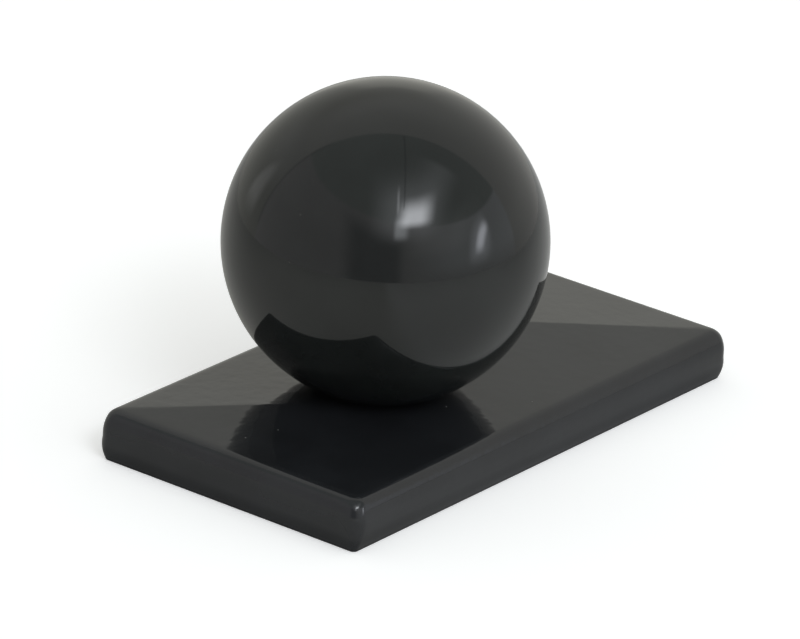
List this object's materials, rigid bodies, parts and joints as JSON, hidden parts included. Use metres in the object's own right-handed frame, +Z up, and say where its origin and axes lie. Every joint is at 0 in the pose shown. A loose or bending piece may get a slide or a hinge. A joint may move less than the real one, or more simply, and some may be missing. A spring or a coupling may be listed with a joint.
{
  "type": "ball post cap",
  "caption": "Oblong pressed sheet-metal post cap with a low hipped roof and a round ball fixed on its ridge, gloss anthracite powder coat, open underneath to slip over a post.",
  "frame": {"origin": "middle of the cap in plan, at the height of its rim", "axes": "+Z up, +X along the cap, with the ball towards the -X end, +Y across the cap"},
  "size_m": [0.0954, 0.05, 0.0576],
  "materials": {
    "cap_powder_coat": "gloss anthracite powder coat with a fine orange peel",
    "ball_powder_coat": "gloss anthracite powder coat, smoother than the cap's"
  },
  "bodies": {
    "root": {"post_cap": "cap_powder_coat", "ball": "ball_powder_coat"}
  },
  "joints": []
}
